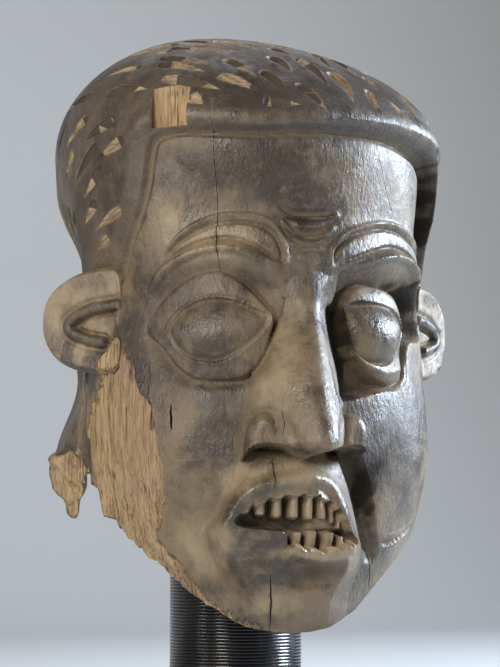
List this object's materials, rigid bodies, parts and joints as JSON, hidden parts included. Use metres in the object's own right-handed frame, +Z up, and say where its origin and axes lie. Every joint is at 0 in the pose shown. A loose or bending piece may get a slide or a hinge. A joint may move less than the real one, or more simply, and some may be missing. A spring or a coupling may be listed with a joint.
{
  "type": "carved helmet mask",
  "caption": "Carved wooden helmet mask with almond eyes, open mouth and chip-carved hair, resting on a round black post and foot.",
  "frame": {"origin": "middle of the foot's underside, on the surface that the stand rests on", "axes": "+Z up through the post, the face looks along -Y, +X towards the mask's own left ear"},
  "size_m": [0.3066, 0.3534, 0.5034],
  "materials": {
    "carved_wood": "dark handled patina, glossy on the high places, raw where broken",
    "black_post": "glossy black, finely ribbed",
    "black_foot": "painted satin black"
  },
  "bodies": {
    "root": {"mask": "carved_wood", "stand_post": "black_post", "stand_foot": "black_foot"}
  },
  "joints": []
}
